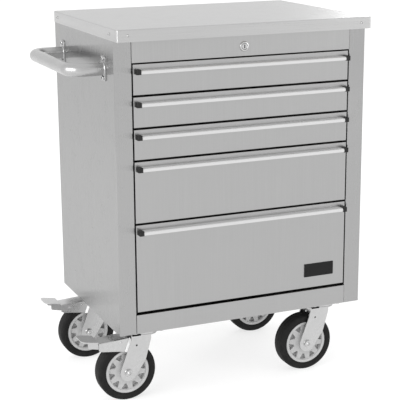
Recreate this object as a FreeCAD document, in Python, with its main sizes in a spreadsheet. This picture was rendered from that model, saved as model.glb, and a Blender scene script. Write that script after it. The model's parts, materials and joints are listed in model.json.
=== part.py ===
"""Rolling tool chest: a sheet steel cabinet with five drawers on four large castors.

X runs along the front from left to right, Y from the front to the back, Z up. The origin is on the floor
at the middle of the whole chest's footprint, handle and worktop included. Lengths are in millimetres.
"""
import FreeCAD, Part
import os
import re
import Sketcher

doc = FreeCAD.newDocument("rolling_tool_chest")
sheet = doc.addObject("Spreadsheet::Sheet", "sizes")

SIZES = {
    # cabinet shell
    "cabinet_width": 670,
    "cabinet_depth": 467.4,
    "body_height": 723.6,
    "base_height": 187,
    "sheet": 1.2,
    "bend_radius": 2.5,
    "post_width": 44.5,
    "post_return": 25,
    "rear_flange": 22,
    "top_rail_height": 52.8,
    "top_rail_depth": 32,
    "bottom_rail_height": 48.1,
    "seam": 0.3,
    "pan_thickness": 2,
    "upright_depth": 40,
    "front_upright_y": 26,
    "rear_upright_y": 402,
    # worktop
    "worktop_height": 29.1,
    "worktop_front": 28.6,
    "worktop_back": 6,
    "worktop_skin": 1.5,
    "worktop_hem": 18,
    "worktop_corner": 4,
    "worktop_edge": 2.5,
    # drawers
    "drawer_width": 575,
    "front_depth": 18.5,
    "front_gap": 4.2,
    "bottom_gap": 7.1,
    "top_front": 73.8,
    "small_front": 74,
    "medium_front": 152.3,
    "large_front": 221.4,
    "front_edge": 1.6,
    "tray_half_width": 277.8,
    "tray_depth": 432,
    "tray_lift": 6,
    "tray_drop": 21,
    # pulls
    "pull_drop": 12.9,
    "pull_reach": 18,
    "pull_wall": 2,
    "pull_lip": 8.6,
    "pull_flange": 11.5,
    "pull_half_length": 273,
    "pull_round": 4,
    "cap_length": 11,
    "cap_margin": 1.5,
    "cap_round": 1.5,
    # slides
    "slide_length": 400,
    "slide_start": 28.7,
    "channel_height": 45,
    "channel_depth": 10,
    "channel_lip": 5,
    "slide_sheet": 1.5,
    "member_height": 32,
    "member_depth": 8.5,
    # badge
    "badge_width": 84,
    "badge_height": 35,
    "badge_thickness": 1.2,
    "badge_x": 213.7,
    "badge_lift": 30,
    # lock
    "lock_height": 694,
    "lock_flange_radius": 12.2,
    "lock_flange": 3,
    "lock_barrel_radius": 9.5,
    "lock_barrel": 24,
    "lock_bore_radius": 7.1,
    "plug_radius": 7.03,
    "plug_recess": 0.6,
    "key_slot_width": 1.6,
    "key_slot_height": 8.5,
    "key_slot_depth": 12,
    "lock_rod_radius": 4,
    "crank_radius": 12,
    "crank_thickness": 4,
    "crank_pin_radius": 3,
    "lock_bar_width": 24,
    "lock_bar_thickness": 3,
    "lock_bar_inset": 8.7,
    "hook_reach": 32,
    "hook_thickness": 2.5,
    "hook_lift": 14,
    "hook_tip": 10,
    "guide_height": 14,
    "guide_wall": 2,
    "guide_clearance": 0.5,
    # push handle
    "handle_height": 651.5,
    "handle_half_span": 164,
    "handle_reach": 82.5,
    "handle_radius": 15.5,
    "handle_wall": 1.5,
    "handle_bend": 35,
    "handle_flange_width": 33,
    "handle_flange_height": 61,
    "handle_flange": 3,
    "handle_flange_lift": 2,
    "handle_screw_spacing": 23.5,
    # fasteners
    "small_head_radius": 3.6,
    "small_head": 2,
    "small_shank_radius": 2,
    "large_head_radius": 5.5,
    "large_head": 3.5,
    "large_shank_radius": 3,
    "screw_length": 8,
    "screw_inset": 27,
    "bolt_head_radius": 7.5,
    "bolt_head": 5.3,
    # castors
    "castor_x": 252,
    "front_castor_y": -176.5,
    "rear_castor_y": 142,
    "trail": 52,
    "plate_length": 104,
    "plate_width": 84,
    "plate_thickness": 4,
    "plate_bolt_x": 34,
    "plate_bolt_y": 30,
    "race_radius": 33,
    "race_height": 9,
    "king_pin_radius": 6,
    "king_pin_length": 15,
    "king_nut_radius": 10,
    "king_nut_height": 6,
    "running_gap": 0.3,
    "running_fit": 0.08,
    "crown_radius": 33,
    "crown_thickness": 3.5,
    "crown_lip": 8,
    "leg_inner": 24.3,
    "leg_thickness": 3.5,
    "leg_front": 43,
    "leg_front_drop": 25,
    "leg_back": 9.5,
    "leg_back_drop": 27,
    "leg_waist": 6,
    "leg_waist_drop": 82,
    "leg_boss": 22,
    "leg_hole_x": 29.5,
    "leg_hole_drop": 41,
    "leg_hole_radius": 2.4,
    "axle_radius": 6,
    "axle_half_length": 29.5,
    "axle_head_radius": 9.5,
    "axle_head": 6,
    "wheel_radius": 76,
    "wheel_width": 41,
    "tyre_seat": 57,
    "tyre_shoulder": 8.7,
    "tyre_gap": 0.05,
    "hub_boss_radius": 17,
    "hub_boss_half": 23.6,
    "hub_rim_inner": 49,
    "hub_rim_half": 18.5,
    "hub_web_half": 15.6,
    "window_count": 10,
    "window_inner": 33,
    "window_outer": 47.6,
    "window_inner_half": 3.5,
    "window_outer_half": 8.8,
    "window_floor_half": 5,
    # brakes of the two left castors
    "hood_half_width": 21.1,
    "hood_sheet": 1.5,
    "hood_end": 126.7,
    "hood_front_top": 19,
    "hood_end_top": 24.4,
    "hood_front_bottom": 57,
    "hood_end_bottom": 45.4,
    "hood_corner": 7,
    "pedal_pivot_x": 104,
    "pedal_pivot_drop": 32.7,
    "pedal_pin_radius": 3,
    "pedal_pin_stub": 0.4,
    "pedal_gap": 0.5,
    "pedal_root": 129,
    "pedal_reach": 173,
    "pedal_half_width": 28,
    "pedal_sheet": 2,
    "pedal_root_drop": 19,
    "pedal_tip_drop": 11.5,
    "pedal_corner": 14,
    "cheek_back": 97,
    "cheek_knee": 122,
    "cheek_front": 154,
    "cheek_top_drop": 29,
    "cheek_bottom_drop": 41,
    "cheek_front_drop": 34,
}

for row, (word, number) in enumerate(SIZES.items(), start=1):
    sheet.set(f"A{row}", word)
    sheet.set(f"B{row}", str(number))
    sheet.setAlias(f"B{row}", word)
doc.recompute()

# The cabinet stands a little to the right and to the back, because handle and worktop reach past it.
CABINET_X = "(handle_reach + handle_radius - small_head) / 2"
CABINET_Y = "(worktop_front - worktop_back) / 2"
FRONT = "-cabinet_depth / 2"
BACK = "cabinet_depth / 2"
RIGHT = "cabinet_width / 2"
OPENING = "(cabinet_width / 2 - post_width)"
BODY_TOP = "(base_height + body_height)"
SIDES = (("left", "-1"), ("right", "1"))
PIECES = []


# ---------------------------------------------------------------- ways of making a shape

def bound(text):
    """The expression with the sheet's name put before each of its words."""
    return re.sub(r"[a-z][a-z_]*", lambda word: "sizes." + word.group(0), text)


def bind(item, prop, text):
    item.setExpression(prop, bound(text))


def put(item, x="0", y="0", z="0"):
    """Place an object at three expressions."""
    for axis, text in zip("xyz", (x, y, z)):
        bind(item, f"Placement.Base.{axis}", text)
    return item


def turn(item, axis, angle):
    """Turn an object about one of its own axes before it is placed."""
    item.Placement.Rotation = FreeCAD.Rotation(FreeCAD.Vector(*axis), angle)
    return item


def piece(node, item, x="0", y="0", z="0"):
    """Make an object one of the chest's pieces. The place counts from the middle of the cabinet."""
    item.Label = node
    put(item, f"{CABINET_X} + {x}", f"{CABINET_Y} + {y}", z)
    PIECES.append(item)
    return item


def box(name, corner, size):
    """A block, from its lowest corner and its three lengths."""
    block = doc.addObject("Part::Box", name)
    for prop, text in zip(("Length", "Width", "Height"), size):
        bind(block, prop, text)
    return put(block, *corner)


def rod(name, start, radius, length, along="z"):
    """A round bar that starts at a point and runs along x, y or z."""
    bar = doc.addObject("Part::Cylinder", name)
    bind(bar, "Radius", radius)
    bind(bar, "Height", length)
    if along == "x":
        turn(bar, (0, 1, 0), 90)
    if along == "y":
        turn(bar, (1, 0, 0), -90)
    return put(bar, *start)


def join(name, items):
    """Several overlapping or touching shapes as one."""
    joined = doc.addObject("Part::MultiFuse", name)
    joined.Shapes = items
    joined.Refine = True
    return joined


def group(name, items):
    """Separate solids in one node."""
    grouped = doc.addObject("Part::Compound", name)
    grouped.Links = items
    return grouped


def cut(name, base, tools):
    """A shape with other shapes taken away."""
    result = doc.addObject("Part::Cut", name)
    result.Base = base
    result.Tool = tools[0] if len(tools) == 1 else join(name + "_tools", tools)
    return result


def soften(name, base, radius, chosen):
    """Round the edges of a shape that a test on their bounding box chooses."""
    doc.recompute()
    edges = [n for n, edge in enumerate(base.Shape.Edges, start=1) if chosen(edge.BoundBox)]
    rounded = doc.addObject("Part::Fillet", name)
    rounded.Base = base
    rounded.Edges = [(n, SIZES[radius], SIZES[radius]) for n in edges]
    return rounded


def plane_of(body, role):
    return next(item for item in body.Origin.OriginFeatures if item.Role == role)


def outline(body, name, plane, points):
    """A closed sketch of straight lines on one of the body's own planes, each corner bound to the sheet."""
    sketch = body.newObject("Sketcher::SketchObject", name)
    sketch.AttachmentSupport = [(plane_of(body, plane), "")]
    sketch.MapMode = "FlatFace"
    rough = [FreeCAD.Vector(n + 1, (n + 1) ** 2, 0) for n in range(len(points))]
    for n, start in enumerate(rough):
        sketch.addGeometry(Part.LineSegment(start, rough[(n + 1) % len(rough)]), False)
    for n, start in enumerate(rough):
        sketch.addConstraint(Sketcher.Constraint("Coincident", n, 2, (n + 1) % len(rough), 1))
        for kind, number, text in (("DistanceX", start.x, points[n][0]), ("DistanceY", start.y, points[n][1])):
            made = sketch.addConstraint(Sketcher.Constraint(kind, -1, 1, n, 1, number))
            sketch.setExpression(f"Constraints[{made}]", bound(text))
    return sketch


def prism(name, plane, points, length):
    """A straight length of one section. It grows along the plane's third axis: +Z, +X or, from XZ, -Y."""
    body = doc.addObject("PartDesign::Body", name)
    sketch = outline(body, name + "_section", plane, points)
    pad = body.newObject("PartDesign::Pad", name + "_length")
    pad.Profile = sketch
    bind(pad, "Length", length)
    return body


def bend(body, radius, chosen):
    """Round the edges of a PartDesign body that a test on their bounding box chooses."""
    doc.recompute()
    last = body.Tip
    names = [f"Edge{n}" for n, edge in enumerate(last.Shape.Edges, start=1) if chosen(edge.BoundBox)]
    fillet = body.newObject("PartDesign::Fillet", body.Name + "_bend")
    fillet.Base = (last, names)
    bind(fillet, "Radius", radius)
    return body


def upright_edge(points):
    """A test for the edges along Z that stand at one of the given points of the XY plane."""
    def chosen(span):
        here = span.XLength < 0.01 and span.YLength < 0.01
        return here and any(abs(span.XMin - x) < 0.01 and abs(span.YMin - y) < 0.01 for x, y in points)
    return chosen


# ---------------------------------------------------------------- cabinet

def side_panel(side, sign):
    """One folded sheet: the wall, the front post with its return, and a narrow flange at the back."""
    inward = f"-({sign}) * "
    corners = [
        ("0", "0"),
        ("post_width", "0"),
        ("post_width", "post_return"),
        ("(post_width - sheet)", "post_return"),
        ("(post_width - sheet)", "sheet"),
        ("sheet", "sheet"),
        ("sheet", "cabinet_depth - sheet"),
        ("rear_flange", "cabinet_depth - sheet"),
        ("rear_flange", "cabinet_depth"),
        ("0", "cabinet_depth"),
    ]
    points = [(inward + x, y) for x, y in corners]
    panel = prism(f"{side}_panel", "XY_Plane", points, "body_height")
    way = -int(sign)
    depth = SIZES["cabinet_depth"]
    wall = SIZES["sheet"]
    bend(panel, "bend_radius", upright_edge([(0, 0), (0, depth), (way * SIZES["post_width"], 0)]))
    bend(panel, "bend_radius - sheet", upright_edge([(way * wall, wall), (way * wall, depth - wall)]))
    piece(f"{side}_side_panel", panel, f"({sign}) * cabinet_width / 2", FRONT, "base_height")


def back_panel():
    wide = "(cabinet_width - 2 * bend_radius)"
    sheet_back = box("back_sheet", ("0", "0", "0"), (wide, "sheet", "body_height"))
    piece("back_panel", sheet_back, f"-{wide} / 2", f"{BACK} - 2 * sheet", "base_height")


def bottom_pan():
    """The floor that the castors bolt to, notched round the folded posts."""
    wide = "(cabinet_width / 2 - sheet - seam)"
    middle = f"({OPENING} - seam)"
    front = f"({FRONT} + sheet)"
    notch = f"({FRONT} + post_return + seam)"
    back = f"({BACK} - 2 * sheet)"
    points = [
        (f"-{wide}", back),
        (wide, back),
        (wide, notch),
        (middle, notch),
        (middle, front),
        (f"-{middle}", front),
        (f"-{middle}", notch),
        (f"-{wide}", notch),
    ]
    piece("bottom_pan", prism("pan", "XY_Plane", points, "pan_thickness"), "0", "0", "base_height")


def top_rail():
    """A channel across the opening, open to the back, with the hole of the lock."""
    high = "top_rail_height"
    points = [
        ("0", "0"),
        ("top_rail_depth", "0"),
        ("top_rail_depth", "sheet"),
        ("sheet", "sheet"),
        ("sheet", f"{high} - sheet"),
        ("top_rail_depth", f"{high} - sheet"),
        ("top_rail_depth", high),
        ("0", high),
    ]
    channel = prism("top_channel", "YZ_Plane", points, f"2 * ({OPENING} - seam)")
    put(channel, f"-({OPENING} - seam)")
    level = "lock_height - body_height + top_rail_height"
    hole = rod("lock_hole", ("0", "-1", level), "lock_barrel_radius + running_gap", "sheet + 2", "y")
    piece("top_rail", cut("rail_with_hole", channel, [hole]), "0", FRONT, f"{BODY_TOP} - top_rail_height")


def bottom_rail():
    """A folded strip below the lowest drawer, with one flange that faces back."""
    high = "bottom_rail_height"
    points = [
        ("0", "0"),
        ("sheet", "0"),
        ("sheet", f"{high} - sheet"),
        ("post_return", f"{high} - sheet"),
        ("post_return", high),
        ("0", high),
    ]
    strip = prism("bottom_strip", "YZ_Plane", points, f"2 * ({OPENING} - seam)")
    piece("bottom_rail", strip, f"-({OPENING} - seam)", FRONT, "base_height")


def slide_uprights():
    """Four channels between the walls and the slides, open towards the walls."""
    wide = "(post_width - sheet)"
    corners = [
        ("0", "0"),
        (wide, "0"),
        (wide, "upright_depth"),
        ("0", "upright_depth"),
        ("0", "upright_depth - sheet"),
        (f"({wide} - sheet)", "upright_depth - sheet"),
        (f"({wide} - sheet)", "sheet"),
        ("0", "sheet"),
    ]
    uprights = []
    for side, sign in SIDES:
        for row in ("front", "rear"):
            points = [(f"-({sign}) * {x}", y) for x, y in corners]
            upright = prism(f"{side}_{row}_upright", "XY_Plane", points, "body_height - pan_thickness")
            put(upright, f"({sign}) * ({RIGHT} - sheet)", f"{row}_upright_y", "pan_thickness")
            uprights.append(upright)
    piece("slide_uprights", group("uprights", uprights), "0", FRONT, "base_height")


def worktop():
    """A folded steel skin with a hem under its edge, and the board that fills it."""
    deep = "(cabinet_depth + worktop_front + worktop_back)"
    skin = "worktop_skin"
    shell = box("worktop_block", ("0", "0", "0"), ("cabinet_width", deep, "worktop_height"))
    shell = soften("worktop_corners", shell, "worktop_corner", lambda span: span.ZLength > 20)
    top = SIZES["worktop_height"]
    shell = soften("worktop_edges", shell, "worktop_edge", lambda span: span.ZMin > top - 0.01)
    inside = (f"cabinet_width - 2 * {skin}", f"{deep} - 2 * {skin}", f"worktop_height - 2 * {skin}")
    hollow = box("worktop_hollow", (skin, skin, skin), inside)
    hem = "worktop_hem"
    mouth_size = (f"cabinet_width - 2 * {hem}", f"{deep} - 2 * {hem}", f"2 * {skin}")
    mouth = box("worktop_mouth", (hem, hem, f"-{skin}"), mouth_size)
    place = (f"-{RIGHT}", f"{FRONT} - worktop_front")
    piece("worktop_skin", cut("worktop_shell", shell, [hollow, mouth]), *place, BODY_TOP)
    inset = "(worktop_skin + seam)"
    core_size = (f"cabinet_width - 2 * {inset}", f"{deep} - 2 * {inset}", inside[2])
    core = box("worktop_board", ("0", "0", "0"), core_size)
    piece("worktop_core", core, f"-{RIGHT} + {inset}", f"{place[1]} + {inset}", f"{BODY_TOP} + {skin}")


# ---------------------------------------------------------------- push handle

def tube(name, outer, inner):
    """One hollow stretch, from a solid one and the bore that it loses."""
    return cut(name, outer, [inner])


def bent_tube():
    """The U of the push handle: two legs, two quarter bends and the grip, in one horizontal plane."""
    straight = "(handle_reach - handle_bend)"
    grip_half = "(handle_half_span - handle_bend)"
    radii = (("outside", "handle_radius"), ("inside", "handle_radius - handle_wall"))
    start = ("-handle_reach", f"-{grip_half}", "0")
    grip = [rod(f"grip_{word}", start, radius, f"2 * {grip_half}", "y") for word, radius in radii]
    parts = [tube("handle_grip", *grip)]
    for row, sign in (("front", "-1"), ("rear", "1")):
        start = (f"-{straight}", f"({sign}) * handle_half_span", "0")
        leg = [rod(f"{row}_leg_{word}", start, radius, straight, "x") for word, radius in radii]
        parts.append(tube(f"handle_{row}_leg", *leg))
        arcs = []
        for word, radius in radii:
            arc = doc.addObject("Part::Torus", f"{row}_bend_{word}")
            bind(arc, "Radius1", "handle_bend")
            bind(arc, "Radius2", radius)
            arc.Angle3 = 90
            turn(arc, (0, 0, 1), 180 if sign == "-1" else 90)
            arcs.append(put(arc, f"-{straight}", f"({sign}) * {grip_half}"))
        parts.append(tube(f"handle_{row}_bend", *arcs))
    return parts


def push_handle():
    """A bent steel tube welded to two flange plates."""
    plates = []
    for row, sign in (("front", "-1"), ("rear", "1")):
        low = ("-handle_flange", f"({sign}) * handle_half_span - handle_flange_width / 2",
               "handle_flange_lift - handle_flange_height / 2")
        plate = box(f"{row}_flange", low, ("handle_flange", "handle_flange_width", "handle_flange_height"))
        plates.append(soften(f"{row}_flange_rounded", plate, "tyre_shoulder", lambda span: span.XLength > 1))
    handle = join("handle_welded", bent_tube() + plates)
    piece("push_handle", handle, f"-{RIGHT}", "0", "base_height + handle_height")


# ---------------------------------------------------------------- fasteners

def screw(name, start, toward, head_radius, head, shank_radius):
    """A screw whose head's underside is at start; toward is the side that the head faces, such as -x."""
    axis = toward[1]
    back = "-" if toward[0] == "-" else ""
    places = dict(zip("xyz", start))
    lowest_head = dict(places)
    lowest_shank = dict(places)
    if back:
        lowest_head[axis] = f"{places[axis]} - {head}"
    else:
        lowest_shank[axis] = f"{places[axis]} - screw_length"
    top = rod(name + "_head", lowest_head.values(), head_radius, head, axis)
    shank = rod(name + "_shank", lowest_shank.values(), shank_radius, "screw_length", axis)
    return join(name, [top, shank])


def fasteners():
    """Worktop screws in the lip, the handle's screws and the castors' bolts."""
    small = ("small_head_radius", "small_head", "small_shank_radius")
    large = ("large_head_radius", "large_head", "large_shank_radius")
    middle = f"({BODY_TOP} + worktop_height / 2)"
    made = []
    for side, sign in SIDES:
        along = f"({sign}) * ({RIGHT} - screw_inset)"
        made.append(screw(f"{side}_front_lip", (along, f"{FRONT} - worktop_front", middle), "-y", *small))
        made.append(screw(f"{side}_back_lip", (along, f"{BACK} + worktop_back", middle), "+y", *small))
        facing = "-x" if sign == "-1" else "+x"
        for row, level in (("front", f"{FRONT} + screw_inset"), ("rear", f"{BACK} - screw_inset")):
            made.append(screw(f"{side}_{row}_side", (f"({sign}) * {RIGHT}", level, middle), facing, *small))
        for row in ("front", "rear"):
            made += castor_bolts(f"{side}_{row}", f"({sign}) * castor_x", f"{row}_castor_y")
    for row, sign in (("front", "-1"), ("rear", "1")):
        for name, step in (("low", "-1"), ("high", "1")):
            level = f"base_height + handle_height + handle_flange_lift + ({step}) * handle_screw_spacing"
            start = (f"-{RIGHT} - handle_flange", f"({sign}) * handle_half_span", level)
            made.append(screw(f"{row}_{name}_handle", start, "-x", *large))
    piece("fasteners", group("all_fasteners", made))


def castor_bolts(name, x, y):
    """Four hexagon bolts that hold one castor's plate under the floor."""
    bolts = []
    for n, (east, north) in enumerate((("-1", "-1"), ("1", "-1"), ("1", "1"), ("-1", "1"))):
        place = (f"{x} + ({east}) * plate_bolt_x", f"{y} + ({north}) * plate_bolt_y")
        head = doc.addObject("Part::Prism", f"{name}_bolt_head_{n}")
        head.Polygon = 6
        bind(head, "Circumradius", "bolt_head_radius")
        bind(head, "Height", "bolt_head")
        put(head, *place, "base_height - plate_thickness - bolt_head")
        shank = rod(f"{name}_bolt_shank_{n}", (*place, "base_height - plate_thickness"),
                    "large_shank_radius", "screw_length + plate_thickness")
        bolts.append(join(f"{name}_bolt_{n}", [head, shank]))
    return bolts


# ---------------------------------------------------------------- drawers

FRONTS = ("large_front", "medium_front", "small_front", "small_front", "top_front")


def drawer_levels():
    """The number, height and lowest level of each drawer front, from the lowest drawer up."""
    level = "base_height + bottom_rail_height + bottom_gap"
    levels = []
    for number, high in zip((5, 4, 3, 2, 1), FRONTS):
        levels.append((number, high, level))
        level = f"{level} + {high} + front_gap"
    return levels


def drawer_front(number, high, level):
    """A folded pan that is open at the back."""
    block = box(f"front_{number}_block", ("0", "0", "0"), ("drawer_width", "front_depth", high))
    block = soften(f"front_{number}_edges", block, "front_edge",
                   lambda span: span.YMax < 0.01)
    hollow = box(f"front_{number}_hollow", ("sheet", "sheet", "sheet"),
                 ("drawer_width - 2 * sheet", "front_depth", f"{high} - 2 * sheet"))
    piece(f"drawer_{number}_front", cut(f"front_{number}", block, [hollow]), "-drawer_width / 2", FRONT, level)


def drawer_tray(number, high, level):
    tall = f"({high} - tray_drop)"
    outside = box(f"tray_{number}_block", ("0", "0", "0"), ("2 * tray_half_width", "tray_depth", tall))
    inside = box(f"tray_{number}_hollow", ("sheet", "sheet", "sheet"),
                 ("2 * tray_half_width - 2 * sheet", "tray_depth - 2 * sheet", tall))
    tray = cut(f"tray_{number}", outside, [inside])
    piece(f"drawer_{number}_tray", tray, "-tray_half_width", f"{FRONT} + sheet", f"{level} + tray_lift")


def drawer_pull(number, high, level):
    """An aluminium extrusion with a lip that hangs down in front, so that fingers reach up behind it."""
    points = [
        ("0", "0"),
        ("0", "-pull_flange"),
        ("-pull_wall", "-pull_flange"),
        ("-pull_wall", "-pull_wall"),
        ("-(pull_reach - pull_wall)", "-pull_wall"),
        ("-(pull_reach - pull_wall)", "-pull_lip"),
        ("-pull_reach", "-pull_lip"),
        ("-pull_reach", "0"),
    ]
    bar = prism(f"pull_{number}", "YZ_Plane", points, "2 * pull_half_length")
    reach = SIZES["pull_reach"]
    bend(bar, "pull_round", lambda span: abs(span.YMin + reach) < 0.01 and span.ZMin > -0.01 and span.XLength > 1)
    top = f"{level} + {high} - pull_drop"
    piece(f"drawer_{number}_pull", bar, "-pull_half_length", FRONT, top)
    deep = "(pull_reach + cap_margin)"
    tall = "(pull_lip + 2 * cap_margin)"
    caps = []
    for side, start in (("left", "-(pull_half_length + cap_length)"), ("right", "pull_half_length")):
        cap = box(f"cap_{number}_{side}", (start, f"-{deep}", f"-{tall}"), ("cap_length", deep, tall))
        caps.append(soften(f"cap_{number}_{side}_round", cap, "cap_round", lambda span: span.YMax < -0.01))
    piece(f"drawer_{number}_end_caps", group(f"caps_{number}", caps), "0", FRONT, f"{top} + cap_margin")


def slide_level(high, level):
    """The middle height of a drawer's two slides."""
    return f"{level} + tray_lift + ({high} - tray_drop) / 2"


def slide_members(number, high, level):
    """The two channels on the drawer's own sides."""
    wall = "slide_sheet"
    corners = [
        ("0", "-member_height / 2"),
        ("member_depth", "-member_height / 2"),
        ("member_depth", f"-member_height / 2 + {wall}"),
        (wall, f"-member_height / 2 + {wall}"),
        (wall, f"member_height / 2 - {wall}"),
        ("member_depth", f"member_height / 2 - {wall}"),
        ("member_depth", "member_height / 2"),
        ("0", "member_height / 2"),
    ]
    members = []
    for side, sign in SIDES:
        points = [(f"({sign}) * {x}", z) for x, z in corners]
        member = prism(f"member_{number}_{side}", "XZ_Plane", points, "slide_length")
        members.append(put(member, f"({sign}) * tray_half_width", "slide_length"))
    place = ("0", f"{FRONT} + slide_start", slide_level(high, level))
    piece(f"drawer_{number}_slide_members", group(f"members_{number}", members), *place)


def slide_channels(levels):
    """The ten channels on the uprights, whose lips hold the drawers' own members."""
    wall = "slide_sheet"
    half = "channel_height / 2"
    corners = [
        ("0", f"-{half}"),
        ("channel_depth", f"-{half}"),
        ("channel_depth", f"-{half} + channel_lip"),
        (f"(channel_depth - {wall})", f"-{half} + channel_lip"),
        (f"(channel_depth - {wall})", f"-{half} + {wall}"),
        (wall, f"-{half} + {wall}"),
        (wall, f"{half} - {wall}"),
        (f"(channel_depth - {wall})", f"{half} - {wall}"),
        (f"(channel_depth - {wall})", f"{half} - channel_lip"),
        ("channel_depth", f"{half} - channel_lip"),
        ("channel_depth", half),
        ("0", half),
    ]
    channels = []
    for number, high, level in levels:
        for side, sign in SIDES:
            points = [(f"-({sign}) * {x}", z) for x, z in corners]
            channel = prism(f"channel_{number}_{side}", "XZ_Plane", points, "slide_length")
            put(channel, f"({sign}) * {OPENING}", f"{FRONT} + slide_start + slide_length",
                slide_level(high, level))
            channels.append(channel)
    piece("slide_channels", group("channels", channels))


def badge(level):
    """A blank plate on the lowest drawer."""
    plate = box("badge", ("0", "0", "0"), ("badge_width", "badge_thickness", "badge_height"))
    plate = soften("badge_round", plate, "front_edge", lambda span: span.YLength > 1)
    piece("badge_plate", plate, "badge_x - badge_width / 2", f"{FRONT} - badge_thickness",
          f"{level} + badge_lift")


# ---------------------------------------------------------------- lock

LOCK_Z = "(base_height + lock_height)"
BAR_Y = "(cabinet_depth / 2 - lock_bar_inset - lock_bar_thickness)"


def lock_cylinder():
    """The fixed housing in the top rail and the plug that the key turns in it."""
    flange = rod("lock_flange_ring", ("0", "-lock_flange", "0"), "lock_flange_radius", "lock_flange", "y")
    flange = soften("lock_flange_round", flange, "front_edge", lambda span: span.YMax < -1)
    barrel = rod("lock_barrel_tube", ("0", "0", "0"), "lock_barrel_radius", "lock_barrel", "y")
    through = "lock_flange + lock_barrel + 2"
    bore = rod("lock_bore", ("0", "-lock_flange - 1", "0"), "lock_bore_radius", through, "y")
    housing = cut("housing", join("housing_block", [flange, barrel]), [bore])
    piece("lock_housing", housing, "0", FRONT, LOCK_Z)
    start = "-lock_flange + plug_recess"
    plug = rod("plug", ("0", start, "0"), "plug_radius", "lock_flange - plug_recess + lock_barrel", "y")
    slot = box("key_slot", ("-key_slot_width / 2", "-lock_flange - 1", "-key_slot_height / 2"),
               ("key_slot_width", "key_slot_depth", "key_slot_height"))
    piece("lock_cylinder", cut("plug_with_slot", plug, [slot]), "0", FRONT, LOCK_Z)


def lock_rod():
    """A rod from the plug to the back, where its crank pin stands in the lock bar's window."""
    run = f"({BAR_Y} + cabinet_depth / 2 - lock_barrel - crank_thickness - 2)"
    shaft = rod("lock_shaft", ("0", "0", "0"), "lock_rod_radius", run, "y")
    arm = box("crank_arm", ("-lock_rod_radius", run, "-lock_rod_radius"),
              ("crank_radius + 2 * lock_rod_radius", "crank_thickness", "2 * lock_rod_radius"))
    pin = rod("crank_pin", ("crank_radius", run, "0"), "crank_pin_radius",
              "crank_thickness + 2 + lock_bar_thickness + 2", "y")
    piece("lock_rod", join("rod_with_crank", [shaft, arm, pin]), "0", f"{FRONT} + lock_barrel", LOCK_Z)


def lock_bar(levels):
    """An upright bar behind the drawers. Its hooks drop in front of the drawers' back walls."""
    half = "lock_bar_width / 2"
    lowest = f"({levels[0][2]} + tray_lift + {levels[0][1]} - tray_drop)"
    parts = [box("bar_strip", (f"-{half}", "0", lowest),
                 ("lock_bar_width", "lock_bar_thickness", f"{LOCK_Z} + lock_bar_width / 2 - {lowest}"))]
    parts.append(box("bar_head", (f"-{half}", "0", f"{LOCK_Z} - lock_bar_width / 2"),
                     ("lock_bar_width + crank_radius", "lock_bar_thickness", "lock_bar_width")))
    for number, high, level in levels:
        tray_top = f"{level} + tray_lift + {high} - tray_drop"
        parts.append(box(f"hook_arm_{number}", (f"-{half}", "-hook_reach", f"{tray_top} + hook_lift"),
                         ("lock_bar_width", "hook_reach", "hook_thickness")))
        parts.append(box(f"hook_tip_{number}",
                         (f"-{half}", "-hook_reach", f"{tray_top} + hook_lift - hook_tip"),
                         ("lock_bar_width", "hook_thickness", "hook_tip")))
    sag = "crank_radius * 0.22"
    low = f"{LOCK_Z} - crank_pin_radius - {sag} - guide_clearance"
    window = box("bar_window", ("-crank_pin_radius - 1", "-1", low),
                 ("crank_radius + 2 * crank_pin_radius + 2", "lock_bar_thickness + 2",
                  f"2 * crank_pin_radius + {sag} + 2 * guide_clearance"))
    piece("lock_bar", cut("bar_with_window", join("bar_with_hooks", parts), [window]), "0", BAR_Y, "0")
    guides = []
    wide = "(lock_bar_width + 2 * guide_clearance)"
    for number, high, level in levels[1:3]:
        base = f"{level} + tray_lift"
        deep = "lock_bar_inset + lock_bar_thickness + guide_clearance + guide_wall - 2 * sheet"
        block = box(f"guide_block_{number}", (f"-{wide} / 2 - guide_wall", "0", base),
                    (f"{wide} + 2 * guide_wall", deep, "guide_height"))
        space = box(f"guide_space_{number}", (f"-{wide} / 2", "guide_wall", f"{base} - 1"),
                    (wide, deep, "guide_height + 2"))
        guides.append(cut(f"guide_{number}", block, [space]))
    piece("lock_bar_guides", group("guides", guides), "0", f"{BAR_Y} - guide_clearance - guide_wall", "0")


# ---------------------------------------------------------------- castors

CROWN_TOP = "(base_height - plate_thickness - race_height - running_gap)"
CROWN = f"({CROWN_TOP} - crown_thickness)"


def castor_plates():
    """The four fixed plates with their bearing races and king pins."""
    plates = []
    for side, sign in SIDES:
        for row in ("front", "rear"):
            x = f"({sign}) * castor_x"
            y = f"{row}_castor_y"
            name = f"{row}_{side}"
            plate = box(f"{name}_plate", (f"{x} - plate_length / 2", f"{y} - plate_width / 2",
                                          "base_height - plate_thickness"),
                        ("plate_length", "plate_width", "plate_thickness"))
            race_low = "base_height - plate_thickness - race_height"
            race = rod(f"{name}_race", (x, y, race_low), "race_radius", "race_height")
            pin = rod(f"{name}_king_pin", (x, y, f"{CROWN} - running_gap"), "king_pin_radius",
                      f"{race_low} - {CROWN} + running_gap")
            nut_low = f"{CROWN} - running_gap - king_nut_height"
            nut = rod(f"{name}_king_nut", (x, y, nut_low), "king_nut_radius", "king_nut_height")
            plates.append(join(f"{name}_swivel_plate", [plate, race, pin, nut]))
    piece("castor_top_plates", group("swivel_plates", plates))


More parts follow.
